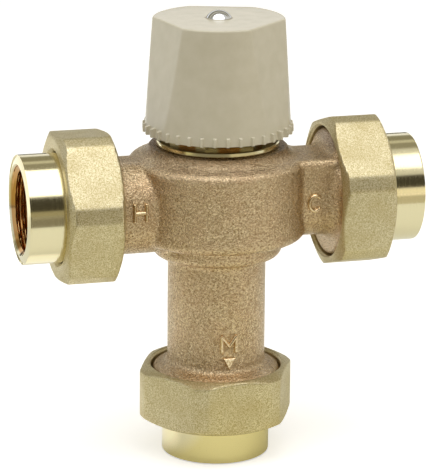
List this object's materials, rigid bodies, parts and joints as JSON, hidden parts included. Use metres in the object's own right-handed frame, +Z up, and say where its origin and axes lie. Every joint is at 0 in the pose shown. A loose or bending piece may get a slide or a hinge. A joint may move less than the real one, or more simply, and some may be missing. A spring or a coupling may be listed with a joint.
{
  "type": "thermostatic mixing valve",
  "caption": "Cast bronze mixing valve with hot and cold inlets at the sides, mixed outlet below, union nuts with threaded tailpieces, and a turning knob over a wax element.",
  "frame": {"origin": "centre of the outlet tailpiece's end face, which the valve stands on", "axes": "+Z up the valve axis to the knob, +X along the inlet axis to the cold inlet, -X to the hot inlet"},
  "size_m": [0.1212, 0.0532, 0.1362],
  "materials": {
    "bronze": "sand-cast, bead-blasted",
    "nut_brass": "tumbled, satin",
    "turned_brass": "turned, bright",
    "inner_brass": "machined",
    "knob_plastic": "moulded, satin",
    "chromed_steel": "polished",
    "stainless": "drawn wire and sheet",
    "element_copper": "drawn and crimped",
    "acetal": "moulded",
    "rubber": "moulded",
    "fibre": "die-cut sheet"
  },
  "bodies": {
    "valve_body": {"valve_body": "bronze", "bonnet": "turned_brass", "bonnet_seal": "rubber", "seat_ring": "inner_brass", "seat_ring_seal": "rubber", "return_spring": "stainless", "hot_check_housing": "acetal", "hot_check_spring": "stainless", "cold_check_housing": "acetal", "cold_check_spring": "stainless"},
    "knob": {"knob": "knob_plastic", "cap_screw": "chromed_steel", "spindle": "inner_brass", "spindle_seal": "rubber", "thrust_washer": "acetal", "spindle_clip": "stainless"},
    "adjuster": {"adjuster_carrier": "inner_brass", "carrier_clip": "stainless", "overtravel_spring": "stainless"},
    "thrust": {"thrust_cup": "inner_brass", "element_rod": "stainless"},
    "shuttle": {"shuttle": "acetal", "shuttle_seal": "rubber", "wax_element": "element_copper"},
    "hot_poppet": {"hot_check_poppet": "acetal", "hot_check_seal": "rubber"},
    "cold_poppet": {"cold_check_poppet": "acetal", "cold_check_seal": "rubber"},
    "hot_union": {"hot_tailpiece": "turned_brass", "hot_gasket": "fibre", "hot_screen": "stainless"},
    "cold_union": {"cold_tailpiece": "turned_brass", "cold_gasket": "fibre", "cold_screen": "stainless"},
    "mixed_union": {"mixed_tailpiece": "turned_brass", "mixed_gasket": "fibre"},
    "hot_nut": {"hot_nut": "nut_brass"},
    "cold_nut": {"cold_nut": "nut_brass"},
    "mixed_nut": {"mixed_nut": "nut_brass"}
  },
  "joints": [
    {"name": "knob_turn", "type": "hinge", "parent": "valve_body", "child": "knob", "pos_m": [0, 0, 0.112], "axis": [0, 0, 1], "range_deg": [-150, 150]},
    {"name": "adjuster_slide", "type": "slide", "parent": "valve_body", "child": "adjuster", "axis": [0, 0, 1], "range_m": [-0.00125, 0.00125]},
    {"name": "overtravel_slide", "type": "slide", "parent": "adjuster", "child": "thrust", "axis": [0, 0, 1], "range_m": [0, 0.002], "stiffness_N_per_m": 12000, "springref_m": -0.0015, "deforming": ["overtravel_spring"]},
    {"name": "shuttle_slide", "type": "slide", "parent": "valve_body", "child": "shuttle", "axis": [0, 0, 1], "range_m": [-0.00075, 0.00075], "stiffness_N_per_m": 3000, "deforming": ["return_spring"]},
    {"name": "hot_check_slide", "type": "slide", "parent": "valve_body", "child": "hot_poppet", "axis": [1, 0, 0], "range_m": [0, 0.0025], "stiffness_N_per_m": 150, "springref_m": -0.003, "deforming": ["hot_check_spring"]},
    {"name": "cold_check_slide", "type": "slide", "parent": "valve_body", "child": "cold_poppet", "axis": [-1, 0, 0], "range_m": [0, 0.0025], "stiffness_N_per_m": 150, "springref_m": -0.003, "deforming": ["cold_check_spring"]},
    {"name": "hot_union_slide", "type": "slide", "parent": "valve_body", "child": "hot_union", "axis": [-1, 0, 0], "range_m": [0, 0.0084]},
    {"name": "hot_nut_turn", "type": "hinge", "parent": "hot_union", "child": "hot_nut", "pos_m": [-0.045, 0, 0.0791], "axis": [-1, 0, 0], "range_deg": [0, 1309]},
    {"name": "cold_union_slide", "type": "slide", "parent": "valve_body", "child": "cold_union", "axis": [1, 0, 0], "range_m": [0, 0.0084]},
    {"name": "cold_nut_turn", "type": "hinge", "parent": "cold_union", "child": "cold_nut", "pos_m": [0.045, 0, 0.0791], "axis": [1, 0, 0], "range_deg": [0, 1309]},
    {"name": "mixed_union_slide", "type": "slide", "parent": "valve_body", "child": "mixed_union", "axis": [0, 0, -1], "range_m": [0, 0.0084]},
    {"name": "mixed_nut_turn", "type": "hinge", "parent": "mixed_union", "child": "mixed_nut", "pos_m": [0, 0, 0.015], "axis": [0, 0, -1], "range_deg": [0, 1309]}
  ],
  "couplings": [
    {"joint": "adjuster_slide", "follows": "knob_turn", "m_per_rad": 0.00047746},
    {"joint": "hot_union_slide", "follows": "hot_nut_turn", "m_per_rad": 0.00036749},
    {"joint": "cold_union_slide", "follows": "cold_nut_turn", "m_per_rad": 0.00036749},
    {"joint": "mixed_union_slide", "follows": "mixed_nut_turn", "m_per_rad": 0.00036749}
  ]
}
